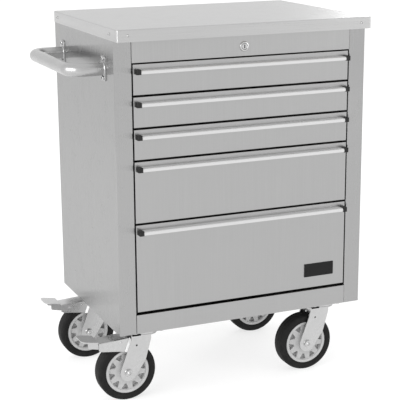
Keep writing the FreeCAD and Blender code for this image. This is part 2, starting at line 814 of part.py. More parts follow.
def fork(name):
    """A pressed fork that leans back from the swivel to the axle, with the axle bolt as its own solid."""
    legs = []
    outer = "(leg_inner + leg_thickness)"
    for side, far in (("near", f"-leg_inner"), ("far", outer)):
        points = [
            ("-leg_front", CROWN_TOP),
            ("-leg_front", "base_height - leg_front_drop"),
            ("-trail - leg_boss * 0.95", "wheel_radius + leg_boss * 0.31"),
            ("-trail + leg_boss * 0.85", "wheel_radius - leg_boss * 0.53"),
            ("-leg_waist", "base_height - leg_waist_drop"),
            ("leg_back", "base_height - leg_back_drop"),
            ("leg_back", CROWN_TOP),
        ]
        leg = prism(f"{name}_{side}_leg", "XZ_Plane", points, "leg_thickness")
        legs.append(put(leg, "0", far))
        boss = rod(f"{name}_{side}_boss", ("-trail", f"{far} - leg_thickness", "wheel_radius"),
                   "leg_boss", "leg_thickness", "y")
        legs.append(boss)
    crown = box(f"{name}_crown", ("-leg_front", f"-{outer}", CROWN),
                ("leg_front + leg_back", f"2 * {outer}", "crown_thickness"))
    lip = box(f"{name}_lip", ("-leg_front", f"-{outer}", f"{CROWN_TOP} - crown_lip"),
              ("leg_thickness", f"2 * {outer}", "crown_lip"))
    disc = rod(f"{name}_disc", ("0", "0", CROWN), "crown_radius", "crown_thickness")
    pin_hole = rod(f"{name}_pin_hole", ("0", "0", f"{CROWN} - 1"), "king_pin_radius + running_fit",
                   "crown_thickness + 2")
    axle_hole = rod(f"{name}_axle_hole", ("-trail", "-40", "wheel_radius"), "axle_radius + running_fit",
                    "80", "y")
    tool_hole = rod(f"{name}_tool_hole", ("-leg_hole_x", "-40", "base_height - leg_hole_drop"),
                    "leg_hole_radius", "80", "y")
    blank = join(f"{name}_blank", legs + [crown, lip, disc])
    pressing = cut(f"{name}_pressing", blank, [pin_hole, axle_hole, tool_hole])
    half = "axle_half_length"
    shaft = rod(f"{name}_shaft", ("-trail", f"-{half}", "wheel_radius"), "axle_radius", f"2 * {half}", "y")
    heads = []
    for end, start in (("head", f"-{outer} - axle_head"), ("nut", outer)):
        head = doc.addObject("Part::Prism", f"{name}_axle_{end}")
        head.Polygon = 6
        bind(head, "Circumradius", "axle_head_radius")
        bind(head, "Height", "axle_head")
        turn(head, (1, 0, 0), -90)
        heads.append(put(head, "-trail", start, "wheel_radius"))
    return group(f"{name}_fork_and_axle", [pressing, join(f"{name}_axle", [shaft] + heads)])


def hub(name):
    """A moulded wheel centre, with a ring of blind pockets in both faces of its web; its axis is Z here."""
    body = doc.addObject("PartDesign::Body", f"{name}_hub_body")
    bore = "axle_radius + running_fit"
    section = [
        (bore, "-hub_boss_half"),
        ("hub_boss_radius", "-hub_boss_half"),
        ("hub_boss_radius", "-hub_web_half"),
        ("hub_rim_inner", "-hub_web_half"),
        ("hub_rim_inner", "-hub_rim_half"),
        ("tyre_seat", "-hub_rim_half"),
        ("tyre_seat", "hub_rim_half"),
        ("hub_rim_inner", "hub_rim_half"),
        ("hub_rim_inner", "hub_web_half"),
        ("hub_boss_radius", "hub_web_half"),
        ("hub_boss_radius", "hub_boss_half"),
        (bore, "hub_boss_half"),
    ]
    turned = body.newObject("PartDesign::Revolution", f"{name}_turned")
    turned.Profile = outline(body, f"{name}_section", "XZ_Plane", section)
    turned.ReferenceAxis = (turned.Profile[0], ["V_Axis"])
    turned.Angle = 360
    doc.recompute()
    corners = [
        ("window_inner", "-window_inner_half"),
        ("window_outer", "-window_outer_half"),
        ("window_outer", "window_outer_half"),
        ("window_inner", "window_inner_half"),
    ]
    shapes = []
    for side, rise in (("near", 1), ("far", -1)):
        window = body.newObject("PartDesign::Pocket", f"{name}_{side}_window")
        window.Profile = outline(body, f"{name}_{side}_outline", "XY_Plane", corners)
        bind(window.Profile[0], "AttachmentOffset.Base.z", f"{rise} * window_floor_half")
        window.Type = 1
        window.Reversed = rise > 0
        doc.recompute()
        shapes.append(window)
    ring = body.newObject("PartDesign::PolarPattern", f"{name}_windows")
    ring.Originals = shapes
    ring.Axis = (shapes[0].Profile[0], ["N_Axis"])
    ring.Angle = 360
    bind(ring, "Occurrences", "window_count")
    body.Tip = ring
    return turn(body, (1, 0, 0), -90)


def tyre(name):
    """A round-shouldered solid rubber ring."""
    block = rod(f"{name}_tyre_block", ("0", "-wheel_width / 2", "0"), "wheel_radius", "wheel_width", "y")
    block = soften(f"{name}_tyre_round", block, "tyre_shoulder",
                   lambda span: span.YLength < 0.01 and span.XLength > 100)
    seat = rod(f"{name}_seat", ("0", "-wheel_width", "0"), "tyre_seat + tyre_gap", "2 * wheel_width", "y")
    return cut(f"{name}_tyre_ring", block, [seat])


def brake_hood(name):
    """A folded cover over the wheel, fixed to the fork, with holes for the pedal's pin."""
    bottom = [
        ("-hood_end", "base_height - hood_end_top"),
        ("-hood_end", "base_height - hood_end_bottom + hood_corner / 2"),
        ("-hood_end + hood_corner", "base_height - hood_end_bottom - hood_corner / 4"),
        ("-leg_front", "base_height - hood_front_bottom"),
        ("-leg_front", "base_height - hood_front_top"),
    ]
    outer = "(hood_half_width + hood_sheet)"
    block = prism(f"{name}_hood_block", "XZ_Plane", bottom, f"2 * {outer}")
    put(block, "0", outer)
    inner = [
        ("-hood_end - 1", "base_height - hood_end_top - hood_sheet"),
        ("-hood_end - 1", "base_height - hood_front_bottom - 5"),
        ("-leg_front + 1", "base_height - hood_front_bottom - 5"),
        ("-leg_front + 1", "base_height - hood_front_top - hood_sheet"),
    ]
    hollow = prism(f"{name}_hood_hollow", "XZ_Plane", inner, "2 * hood_half_width")
    put(hollow, "0", "hood_half_width")
    hole = rod(f"{name}_hood_hole", ("-pedal_pivot_x", "-40", "base_height - pedal_pivot_drop"),
               "pedal_pin_radius + running_fit", "80", "y")
    return cut(f"{name}_hood", block, [hollow, hole])


def brake_pedal(name):
    """A foot plate on two cheeks that reach in under the hood and turn on a pin through its skirts."""
    outer = "(hood_half_width - pedal_gap)"
    root = "base_height - pedal_root_drop"
    tip = "base_height - pedal_tip_drop"
    strip = prism(f"{name}_strip", "XZ_Plane", [
        ("-pedal_root", root),
        ("-pedal_root", f"{root} - pedal_sheet"),
        ("-pedal_reach", f"{tip} - pedal_sheet"),
        ("-pedal_reach", tip),
    ], "2 * pedal_half_width")
    put(strip, "0", "pedal_half_width")
    plan = box(f"{name}_plan", ("-pedal_reach", "-pedal_half_width", "base_height - cheek_bottom_drop"),
               ("pedal_reach - pedal_root", "2 * pedal_half_width", "cheek_bottom_drop"))
    far = -SIZES["pedal_reach"]
    plan = soften(f"{name}_plan_round", plan, "pedal_corner",
                  lambda span: span.XMax < far + 1 and span.ZLength > 10)
    plate = doc.addObject("Part::Common", f"{name}_plate")
    plate.Base = strip
    plate.Tool = plan
    parts = [plate]
    slope = "(pedal_root_drop - pedal_tip_drop) / (pedal_reach - pedal_root)"
    under = f"{root} - pedal_sheet / 2"
    for side, start in (("near", f"hood_sheet - {outer}"), ("far", outer)):
        cheek = prism(f"{name}_{side}_cheek", "XZ_Plane", [
            ("-cheek_back", "base_height - cheek_top_drop"),
            ("-cheek_back", "base_height - cheek_bottom_drop"),
            ("-cheek_knee", "base_height - cheek_bottom_drop"),
            ("-cheek_front", "base_height - cheek_front_drop"),
            ("-cheek_front", f"{under} + (cheek_front - pedal_root) * {slope}"),
            ("-pedal_root", under),
            ("-pedal_root", "base_height - cheek_top_drop"),
        ], "hood_sheet")
        parts.append(put(cheek, "0", start))
    half = "(hood_half_width + hood_sheet + pedal_pin_stub)"
    pin = rod(f"{name}_pin", ("-pedal_pivot_x", f"-{half}", "base_height - pedal_pivot_drop"),
              "pedal_pin_radius", f"2 * {half}", "y")
    return join(f"{name}_pedal", parts + [pin])


def castors():
    for side, sign in SIDES:
        for row in ("front", "rear"):
            name = f"{row}_{side}"
            x = f"({sign}) * castor_x"
            y = f"{row}_castor_y"
            piece(f"{name}_fork", fork(name), x, y)
            piece(f"{name}_hub", hub(name), f"{x} - trail", y, "wheel_radius")
            piece(f"{name}_tyre", tyre(name), f"{x} - trail", y, "wheel_radius")
            if side == "left":
                piece(f"{name}_brake_hood", brake_hood(name), x, y)
                piece(f"{name}_brake_pedal", brake_pedal(name), x, y)


# ---------------------------------------------------------------- the chest

def build():
    for side, sign in SIDES:
        side_panel(side, sign)
    back_panel()
    bottom_pan()
    top_rail()
    bottom_rail()
    slide_uprights()
    worktop()
    push_handle()
    fasteners()
    levels = drawer_levels()
    for number, high, level in levels:
        drawer_front(number, high, level)
        drawer_tray(number, high, level)
        drawer_pull(number, high, level)
        slide_members(number, high, level)
    slide_channels(levels)
    badge(levels[0][2])
    lock_cylinder()
    lock_rod()
    lock_bar(levels)
    castor_plates()
    castors()


def write():
    """Check every object, then write each piece to its own file."""
    doc.recompute()
    for item in doc.Objects:
        if "Invalid" in item.State or "Error" in item.State:
            raise RuntimeError(f"{item.Label}: {item.State}")
    for item in PIECES:
        if item.Shape.isNull() or not item.Shape.isValid() or not item.Shape.Solids:
            raise RuntimeError(f"{item.Label}: bad shape")
    os.makedirs("parts", exist_ok=True)
    for item in PIECES:
        item.Shape.exportStep(f"parts/{item.Label}.step")


build()
write()
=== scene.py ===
"""The looks of a rolling tool chest: a satin steel cabinet with five drawers on four large castors.

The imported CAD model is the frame, and every piece here is placed from its boxes and from the record.
Lengths are in metres. X runs to the right, Y to the back, Z up.
"""
import json
import math

import bmesh
import bpy
from mathutils import Matrix, Vector


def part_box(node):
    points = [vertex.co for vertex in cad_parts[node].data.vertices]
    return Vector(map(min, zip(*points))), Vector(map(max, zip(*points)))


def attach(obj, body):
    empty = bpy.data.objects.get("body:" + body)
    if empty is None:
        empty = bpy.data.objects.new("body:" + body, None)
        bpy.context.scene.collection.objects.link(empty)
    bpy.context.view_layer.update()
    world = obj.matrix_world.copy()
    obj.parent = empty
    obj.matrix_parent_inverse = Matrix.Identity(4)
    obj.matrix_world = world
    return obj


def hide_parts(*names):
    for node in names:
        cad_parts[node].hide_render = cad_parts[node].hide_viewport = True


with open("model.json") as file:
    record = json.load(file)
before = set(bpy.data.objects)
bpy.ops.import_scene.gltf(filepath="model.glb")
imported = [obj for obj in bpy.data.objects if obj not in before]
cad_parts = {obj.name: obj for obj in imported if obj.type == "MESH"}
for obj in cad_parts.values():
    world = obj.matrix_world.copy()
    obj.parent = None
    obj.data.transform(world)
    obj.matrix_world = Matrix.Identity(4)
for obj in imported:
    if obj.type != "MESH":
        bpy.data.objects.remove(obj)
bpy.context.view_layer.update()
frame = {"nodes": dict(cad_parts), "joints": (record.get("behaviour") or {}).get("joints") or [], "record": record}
NODES = frame["nodes"]
JOINTS = {joint["name"]: joint for joint in frame["joints"]}
MM = 0.001
TURN = 2 * math.pi


# ---------------------------------------------------------------- materials

class Wires:
    """A short way to write a node tree."""

    def __init__(self, name):
        self.material = bpy.data.materials.new(name)
        self.material.use_nodes = True
        self.tree = self.material.node_tree
        self.shader = self.tree.nodes["Principled BSDF"]
        self.place = self.add("ShaderNodeTexCoord").outputs["Object"]

    def add(self, kind, **settings):
        node = self.tree.nodes.new(kind)
        for key, value in settings.items():
            setattr(node, key, value)
        return node

    def link(self, output, entry):
        self.tree.links.new(output, entry)

    def noise(self, scale, size=1.0, detail=4.0, rough=0.55):
        """A noise stretched by the three scales."""
        mapping = self.add("ShaderNodeMapping")
        mapping.inputs["Scale"].default_value = scale
        self.link(self.place, mapping.inputs["Vector"])
        noise = self.add("ShaderNodeTexNoise")
        noise.inputs["Scale"].default_value = size
        noise.inputs["Detail"].default_value = detail
        noise.inputs["Roughness"].default_value = rough
        self.link(mapping.outputs["Vector"], noise.inputs["Vector"])
        return noise.outputs["Fac"]

    def span(self, value, low, high, start=0.3, end=0.7):
        """A value from start to end turned into one from low to high."""
        node = self.add("ShaderNodeMapRange")
        for key, number in (("From Min", start), ("From Max", end), ("To Min", low), ("To Max", high)):
            node.inputs[key].default_value = number
        self.link(value, node.inputs["Value"])
        return node.outputs["Result"]

    def blend(self, factor, first, second):
        """Two colours mixed by a factor."""
        node = self.add("ShaderNodeMix", data_type="RGBA")
        self.link(factor, node.inputs["Factor"])
        for entry, colour in ((node.inputs[6], first), (node.inputs[7], second)):
            if isinstance(colour, tuple):
                entry.default_value = (*colour, 1)
            else:
                self.link(colour, entry)
        return node.outputs[2]

    def bump(self, height, strength, distance, below=None):
        """A normal from a height, over another normal if one is given."""
        node = self.add("ShaderNodeBump")
        node.inputs["Strength"].default_value = strength
        node.inputs["Distance"].default_value = distance
        self.link(height, node.inputs["Height"])
        if below:
            self.link(below, node.inputs["Normal"])
        return node.outputs["Normal"]

    def crevice_shade(self, colour, reach=0.02):
        """A colour painted near black in narrow gaps and folds within reach: painted shade, from ambient
        occlusion.
        """
        corner = self.add("ShaderNodeAmbientOcclusion", samples=8)
        corner.inputs["Distance"].default_value = reach
        unshaded = self.span(corner.outputs["AO"], 0, 1, 0.12, 0.42)
        return self.blend(unshaded, (0.02, 0.02, 0.02), colour)

    def surface(self, **values):
        """Numbers are set on the shader's sockets, and outputs are linked to them."""
        for key, value in values.items():
            entry = self.shader.inputs[key.replace("_", " ").title().replace("Ior", "IOR")]
            if isinstance(value, bpy.types.NodeSocket):
                self.link(value, entry)
            else:
                entry.default_value = value
        return self.material


def grey(value, warm=0.0):
    """A grey, with a little more red and less blue where warm is over zero."""
    return (value * (1 + warm), value, value * (1 - warm))


def brushed(name, tone, rough, grain="z", spread=0.6, contrast=0.05, relief=0.12, metal=1.0):
    """Satin sheet with fine lines along one axis, faint clouds and a few handling marks."""
    w = Wires(name)
    long, fine = 5.0, 900.0
    band = fine / 7
    scale = {"x": (long, fine, fine), "y": (fine, long, fine), "z": (fine, fine, long)}[grain]
    coarse = tuple(v if v == long else band for v in scale)
    lines = w.noise(scale, detail=3.0)
    bands = w.noise(coarse, detail=3.0)
    clouds = w.noise((1, 1, 1), 3.2, 3.0)
    marks = w.noise((1, 1, 1), 21.0, 6.0, 0.7)
    fine_tone = w.blend(w.span(lines, 0, 1), grey(tone * (1 - contrast)), grey(tone * (1 + contrast)))
    band_tone = w.blend(w.span(bands, 0, 0.45), fine_tone, grey(tone * (1 - 0.6 * contrast)))
    colour = w.blend(w.span(clouds, 0, 0.5), band_tone, grey(tone * (1 + 0.5 * contrast), 0.004))
    polish = w.span(lines, rough - 0.035, rough + 0.035)
    worn = w.add("ShaderNodeMath", operation="ADD")
    w.link(polish, worn.inputs[0])
    w.link(w.span(marks, 0.0, 0.05, 0.5, 0.75), worn.inputs[1])
    tangent = w.add("ShaderNodeTangent", direction_type="RADIAL", axis="X" if grain == "x" else "Z")
    # The base colour holds painted shade: it goes near black in gaps and folds.
    return w.surface(
        base_color=w.crevice_shade(colour), metallic=metal, roughness=worn.outputs["Value"], anisotropic=spread,
        tangent=tangent.outputs["Tangent"],
        normal=w.bump(lines, relief, 0.00006, w.bump(clouds, relief / 4, 0.002)))


def plated(name, tone, rough, warm=0.0):
    """Zinc or chrome on pressed or drawn steel, with a soft mottle."""
    w = Wires(name)
    mottle = w.noise((1, 1, 1), 160.0, 4.0)
    clouds = w.noise((1, 1, 1), 14.0, 4.0, 0.6)
    colour = w.blend(w.span(mottle, 0, 1), grey(tone * 0.95, warm), grey(tone * 1.04, warm))
    colour = w.blend(w.span(clouds, 0, 0.35), colour, grey(tone * 0.9, warm))
    # The base colour holds painted shade: it goes near black in gaps and folds.
    return w.surface(
        base_color=w.crevice_shade(colour, 0.01), metallic=1.0, roughness=w.span(clouds, rough - 0.04, rough + 0.05),
        normal=w.bump(mottle, 0.05, 0.0002))


def plastic(name, tone, rough, level=0.4, grain=0.00008):
    """Moulded plastic with a fine spark-eroded texture."""
    w = Wires(name)
    skin = w.noise((1, 1, 1), 900.0, 3.0, 0.6)
    clouds = w.noise((1, 1, 1), 30.0, 3.0)
    colour = w.blend(w.span(clouds, 0, 1), grey(tone * 0.9), grey(tone * 1.1))
    w.shader.inputs["Specular IOR Level"].default_value = level
    return w.surface(base_color=colour, roughness=w.span(clouds, rough - 0.05, rough + 0.05),
                     normal=w.bump(skin, 0.35, grain))


def rubber(name, tone):
    """Solid tyre rubber with dust in its pores."""
    w = Wires(name)
    dust = w.noise((1, 1, 1), 55.0, 6.0, 0.7)
    pores = w.noise((1, 1, 1), 700.0, 3.0, 0.6)
    colour = w.blend(w.span(dust, 0, 1, 0.45, 0.8), grey(tone), grey(tone * 1.9, 0.03))
    w.shader.inputs["Specular IOR Level"].default_value = 0.18
    return w.surface(base_color=colour, roughness=w.span(pores, 0.62, 0.78),
                     normal=w.bump(pores, 0.3, 0.0001))


def board(name):
    """Pressed board with short fibres."""
    w = Wires(name)
    fibres = w.noise((40, 260, 260), detail=5.0)
    colour = w.blend(w.span(fibres, 0, 1), (0.42, 0.30, 0.19), (0.62, 0.48, 0.32))
    return w.surface(base_color=colour, roughness=w.span(fibres, 0.7, 0.85),
                     normal=w.bump(fibres, 0.3, 0.0004))


BODY = brushed("body_steel", 0.405, 0.34, "z", 0.7)
# The side panels' steel is smoother than the body's, and painted a little darker as painted shade against the left
# softbox that lights them.
SHADED_SIDE_STEEL = brushed("shaded_side_steel", 0.39, 0.24, "z", 1.0, 0.04, 0.04)
TOP = brushed("worktop_steel", 0.50, 0.30, "x", 0.5, 0.06)
ZINC = plated("zinc_steel", 0.55, 0.28)
CHROME = plated("polished_steel", 0.56, 0.24)
HANDLE = plated("handle_steel", 0.46, 0.30)
ALUMINIUM = brushed("aluminium", 0.62, 0.36, "x", 0.5, 0.03, metal=0.45)
CAPS = plastic("black_plastic", 0.014, 0.5, 0.25)
HUB = plastic("hub_plastic", 0.47, 0.42, 0.5)
TYRE = rubber("tyre_rubber", 0.010)
BOARD = board("board")
BADGE = plastic("badge", 0.008, 0.3, 0.2, 0.00002)
SLOTS = {"body_steel": BODY, "worktop_steel": TOP, "zinc_steel": ZINC, "polished_steel": CHROME,
         "aluminium": ALUMINIUM, "black_plastic": CAPS, "hub_plastic": HUB, "tyre_rubber": TYRE,
         "board": BOARD, "badge": BADGE}
FINISHES = {"left_side_panel": SHADED_SIDE_STEEL, "right_side_panel": SHADED_SIDE_STEEL}


# ---------------------------------------------------------------- meshes

def lathe(profile, steps=96, closed=True):
    """A ring from (radius, height) points turned about Y.

    A closed profile joins its last point to its first, and an open one gets flat ends.
    """
    count = len(profile)
    points = []
    for step in range(steps):
        angle = TURN * step / steps
        points += [(r * math.cos(angle), h, r * math.sin(angle)) for r, h in profile]
    faces = []
    for step in range(steps):
        here, there = step * count, (step + 1) % steps * count
        for n in range(count if closed else count - 1):
            m = (n + 1) % count
            faces.append((here + n, here + m, there + m, there + n))
    if not closed:
        faces.append(tuple(step * count for step in reversed(range(steps))))
        faces.append(tuple(step * count + count - 1 for step in range(steps)))
    return points, faces


def hexed(profile, flats, steps=48):
    """A turned shape whose points in the set flats lie on a hexagon that they touch at its corners."""
    points, faces = lathe(profile, steps, closed=False)
    count = len(profile)
    for n, (x, y, z) in enumerate(points):
        if n % count in flats:
            off = (math.atan2(z, x) + TURN) % (TURN / 6) - TURN / 12
            share = math.cos(TURN / 12) / math.cos(off)
            points[n] = (x * share, y, z * share)
    return points, faces


def rounded(corners, steps=6):
    """A closed outline from (x, y, radius) corners, each turned into an arc."""
    line = []
    for n, (x, y, radius) in enumerate(corners):
        here = Vector((x, y))
        before = (Vector(corners[n - 1][:2]) - here).normalized()
        after = (Vector(corners[(n + 1) % len(corners)][:2]) - here).normalized()
        if radius == 0:
            line.append(tuple(here))
            continue
        half = before.angle(after) / 2
        middle = here + (before + after).normalized() * radius / math.sin(half)
        start = here + before * radius / math.tan(half) - middle
        end = here + after * radius / math.tan(half) - middle
        sweep = start.angle_signed(end)
        for step in range(steps + 1):
            turned = Matrix.Rotation(-sweep * step / steps, 2) @ start
            line.append(tuple(middle + turned))
    return line


def rectangle(low_x, low_y, high_x, high_y, radius):
    """The outline of a rectangle with equal round corners."""
    return rounded([(low_x, low_y, radius), (high_x, low_y, radius),
                    (high_x, high_y, radius), (low_x, high_y, radius)])


def circle(x, y, radius, steps=24):
    """The outline of a circle."""
    return [(x + radius * math.cos(TURN * n / steps), y + radius * math.sin(TURN * n / steps))
            for n in range(steps)]


def block(low, high):
    """The eight corners and six sides of a box."""
    (a, b, c), (d, e, f) = low, high
    points = [(x, y, z) for z in (c, f) for y in (b, e) for x in (a, d)]
    faces = [(0, 1, 3, 2), (4, 6, 7, 5), (0, 4, 5, 1), (2, 3, 7, 6), (0, 2, 6, 4), (1, 5, 7, 3)]
    return points, faces


def plate(outline, holes, thick, lift):
    """A flat sheet with holes. lift turns (a, b, height over the sheet) into a point."""
    sheet = bmesh.new()
    edges = []
    for loop in [outline, *holes]:
        ring = [sheet.verts.new((a, b, 0)) for a, b in loop]
        edges += [sheet.edges.new((ring[n], ring[(n + 1) % len(ring)])) for n in range(len(ring))]
    bmesh.ops.triangle_fill(sheet, use_beauty=True, edges=edges)
    made = bmesh.ops.extrude_face_region(sheet, geom=sheet.faces[:])
    for item in made["geom"]:
        if isinstance(item, bmesh.types.BMVert):
            item.co.z += thick
    bmesh.ops.recalc_face_normals(sheet, faces=sheet.faces)
    sheet.verts.index_update()
    points = [lift(*v.co) for v in sheet.verts]
    faces = [tuple(v.index for v in face.verts) for face in sheet.faces]
    sheet.free()
    return points, faces


def merged(*shapes):
    """Several shapes as one."""
    points, faces = [], []
    for some, loops in shapes:
        base = len(points)
        points += some
        faces += [tuple(base + n for n in loop) for loop in loops]
    return points, faces


def moved(shape, place=(0, 0, 0), turn=None):
    """A shape turned, and then moved."""
    points, faces = shape
    turn = turn or Matrix.Identity(3)
    return [tuple(turn @ Vector(p) + Vector(place)) for p in points], faces


# Turn a shape that faces -Y so that it faces another way.
TO_LEFT = Matrix.Rotation(-TURN / 4, 3, "Z")
TO_RIGHT = Matrix.Rotation(TURN / 4, 3, "Z")
TO_BACK = Matrix.Rotation(TURN / 2, 3, "Z")
TO_DOWN = Matrix.Rotation(TURN / 4, 3, "X")


def put(name, shape, slot, body, place=(0, 0, 0), bevel=0.0, sharp=32, replaces=(), finish=None):
    """Make a piece from points in metres, round its edges, and let it ride on a body."""
    mesh = bpy.data.meshes.new(name)
    mesh.from_pydata(shape[0], [], shape[1])
    editable = bmesh.new()
    editable.from_mesh(mesh)
    bmesh.ops.recalc_face_normals(editable, faces=editable.faces)
    editable.to_mesh(mesh)
    editable.free()
    mesh.materials.append(finish or SLOTS[slot])
    mesh.polygons.foreach_set("use_smooth", [True] * len(mesh.polygons))
    mesh.set_sharp_from_angle(angle=math.radians(sharp))
    piece = bpy.data.objects.new(name, mesh)
    piece.location = place
    bpy.context.scene.collection.objects.link(piece)
    if bevel:
        soften(piece, bevel)
    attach(piece, body)
    if replaces:
        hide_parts(*replaces)
    return piece


def soften(piece, width, segments=2):
    """Round a piece's sharp edges a little, so that they catch the light."""
    bevel = piece.modifiers.new("edge_rounding", "BEVEL")
    bevel.width = width
    bevel.segments = segments
    bevel.limit_method = "ANGLE"
    bevel.angle_limit = math.radians(40)
    bevel.harden_normals = True


# ---------------------------------------------------------------- carried-over nodes

BEVELS = {"_cap": 0.0006, "front": 0.0003, "pull": 0.0003, "panel": 0.0003, "rail": 0.0003, "tray": 0.0002,
          "worktop_skin": 0.0004, "lock": 0.0003, "badge": 0.0002, "plates": 0.0006, "pan": 0.0003}


def dress_cad():
    """Give every CAD node the material of its slot, and a small bevel where it is bent or cut sheet."""
    for part in frame["record"]["subparts"]:
        node = NODES[part["node"]]
        node.data.materials.clear()
        node.data.materials.append(FINISHES.get(part["node"], SLOTS[part["material_slot"]]))
        for word, width in BEVELS.items():
            if word in part["node"]:
                soften(node, width)
                break


dress_cad()


# ---------------------------------------------------------------- castors

# Castor shapes are measured from the swivel axis (x, y) and the floor (z), with the wheel towards -X.
RIM = 57 * MM
TYRE_SEAT = 57.06 * MM
FORK_BACK, FORK_FRONT = -43 * MM, 9.5 * MM
KNEE = 162 * MM
LEG_FACE = 27.8 * MM
HOOD_HALF = 22.6 * MM


def leg_line(z):
    """The back edge of a fork's leg: upright above the knee, and leaning back to the boss below it."""
    if z > KNEE:
        return FORK_BACK
    return (-43 - 29.9 * (KNEE - z) / (79.2 * MM)) * MM


def tyre_shape(radius, half):
    """A smooth tread with round shoulders, a bead groove by the rim and a fine mould line."""
    curve = 8.7 * MM
    bead = ((0, 2.2), (0.5, 0.9), (2.2, 0.3), (3.2, 0.8), (4.2, 0.1), (6, 0))
    side = [(TYRE_SEAT + out * MM, -half + deep * MM) for out, deep in bead]
    for step in range(11):
        angle = TURN / 4 * step / 10
        side.append((radius - curve + curve * math.sin(angle), -half + curve - curve * math.cos(angle)))
    mould_line = [(radius, -0.5 * MM), (radius + 0.1 * MM, 0), (radius, 0.5 * MM)]
    return lathe(side + mould_line + [(r, -h) for r, h in reversed(side)], 144)


WINDOWS = 10
PHASE = math.radians(10)
# Half the width of a pocket at each radius, in millimetres.
POCKETS = ((33.0, 1.2), (33.6, 2.4), (35.0, 3.4), (39.0, 5.3), (43.0, 7.2), (46.2, 8.8), (47.3, 8.4),
           (47.9, 7.2))
POCKET_START, POCKET_END = 33.3, 47.6


def hub_shape():
    """A moulded centre: a boss, a rim and a face with a ring of blind pockets, the same on both sides.

    rings holds (radius, height) in millimetres. cells holds a window's angles, 0.5 at the pocket's edge.
    """
    rings = [(6.2, -23.4), (9.0, -23.4), (9.3, -22.9), (15.0, -22.9), (16.6, -22.3), (17.0, -21.2),
             (17.6, -17.6), (20.0, -16.9), (26.0, -16.3), (31.5, -15.8), (32.7, -15.7)]
    rings += [(r, -15.6) for r, _ in POCKETS]
    rings += [(48.4, -15.6), (48.9, -15.9), (49.3, -17.4), (49.8, -18.2), (50.6, -18.5), (55.6, -18.5),
              (56.4, -18.3), (RIM / MM - 0.05, -17.6)]
    cells = [-1.0, -0.8, -0.62, -0.5, -0.47, -0.3, -0.1, 0.1, 0.3, 0.47, 0.5, 0.62, 0.8]
    halves = dict(POCKETS)
    pitch = TURN / WINDOWS / 2
    points, faces = [], []
    for side in (1, -1):
        for r, h in rings:
            half = halves.get(r, 1.2 if r < 33 else 7.2)
            wide = math.asin(min(half / r, 0.5))
            for window in range(WINDOWS):
                for t in cells:
                    inside = abs(t) < 0.48 and POCKET_START < r < POCKET_END
                    if abs(t) <= 0.5:
                        angle = wide * t / 0.5
                    else:
                        angle = math.copysign(wide + (pitch - wide) * (abs(t) - 0.5) / 0.5, t)
                    depth = -6.0 - 1.2 * (r - 33) / 15 if inside else h
                    whole = PHASE + TURN * window / WINDOWS + angle
                    points.append((r * MM * math.cos(whole), side * depth * MM, r * MM * math.sin(whole)))
    round_count = WINDOWS * len(cells)
    for side in range(2):
        first = side * len(rings) * round_count
        for ring in range(len(rings) - 1):
            for n in range(round_count):
                m = (n + 1) % round_count
                low, high = first + ring * round_count, first + (ring + 1) * round_count
                faces.append((low + n, low + m, high + m, high + n))
    last = (len(rings) - 1) * round_count
    other = len(rings) * round_count
    for n in range(round_count):
        m = (n + 1) % round_count
        faces.append((last + n, last + m, other + last + m, other + last + n))
        faces.append((n, m, other + m, other + n))
    return points, faces


def ridges_shape():
    """Fine moulded ribs on the floor of each pocket."""
    ribs = []
    for window in range(WINDOWS):
        turn = Matrix.Rotation(-(PHASE + TURN * window / WINDOWS), 3, "Y")
        for side in (-1, 1):
            for shift in (-2.4, 2.4):
                low, high = sorted((side * 5.5 * MM, side * 8.6 * MM))
                ribs.append(moved(block((38.5 * MM, low, (shift - 0.45) * MM),
                                        (47.6 * MM, high, (shift + 0.45) * MM)), turn=turn))
    return merged(*ribs)


def bolt(radius, tall, turn=None, place=(0, 0, 0), washer=0.0):
    """A hexagon head that faces -Y, with a chamfered crown and perhaps a washer under it."""
    head = [(radius, 0), (radius, -tall * 0.82), (radius * 0.93, -tall * 0.97), (radius * 0.8, -tall),
            (0.2 * MM, -tall)]
    shape = hexed(head, {0, 1})
    if washer:
        ring = [(1 * MM, 0), (washer, 0), (washer, -0.8 * MM), (washer - 0.4 * MM, -1.2 * MM),
                (1 * MM, -1.2 * MM)]
        shape = merged(shape, lathe(ring, 48))
    return moved(shape, place, turn)


def pan_head(radius, tall, turn=None, place=(0, 0, 0)):
    """A domed screw head that faces -Y, with a hexagon socket."""
    socket = radius * 0.6
    land = socket * 1.15
    head = [(radius, 0)]
    for step in range(7):
        angle = TURN / 4 * step / 6
        head.append((land + (radius - land) * math.cos(angle), -tall * 0.12 - tall * 0.88 * math.sin(angle)))
    mouth = len(head)
    head += [(socket, -tall * 0.96), (socket, -tall * 0.3), (0.05 * MM, -tall * 0.3)]
    return moved(hexed(head, {mouth, mouth + 1}), place, turn)


def fork_shape(trail, level, top):
    """Two pressed legs that come down from a crown to round bosses, and a lip across the back."""
    inner, thick = 24.3 * MM, 3.5 * MM
    outer = inner + thick
    boss, boss_start, boss_end = 22 * MM, 161, 327
    arc = []
    for step in range(15):
        angle = math.radians(boss_start + (boss_end - boss_start) * step / 14)
        arc.append((-trail + boss * math.cos(angle), level + boss * math.sin(angle), 0))
    outline = rounded([(FORK_BACK, top, 1.5 * MM), (FORK_BACK, KNEE, 8 * MM), *arc,
                       (-6 * MM, 105 * MM, 14 * MM), (FORK_FRONT, 160 * MM, 8 * MM),
                       (FORK_FRONT, top, 4 * MM)])
    holes = [circle(-29.5 * MM, 146 * MM, 2.4 * MM), circle(-trail, level, 6.1 * MM)]
    shapes = []
    for side in (-1, 1):
        def lift(a, b, height, side=side):
            return (a, side * (inner + height), b)
        shapes.append(plate(outline, holes, thick, lift))
    crown = rectangle(FORK_BACK, -outer, FORK_FRONT, outer, 2 * MM)
    shapes.append(plate(crown, [circle(0, 0, 6.2 * MM)], thick,
                        lambda a, b, height: (a, b, top - thick + height)))
    shapes.append(block((FORK_BACK, -inner, top - 8 * MM), (-39.5 * MM, inner, top - thick)))
    return merged(*shapes)


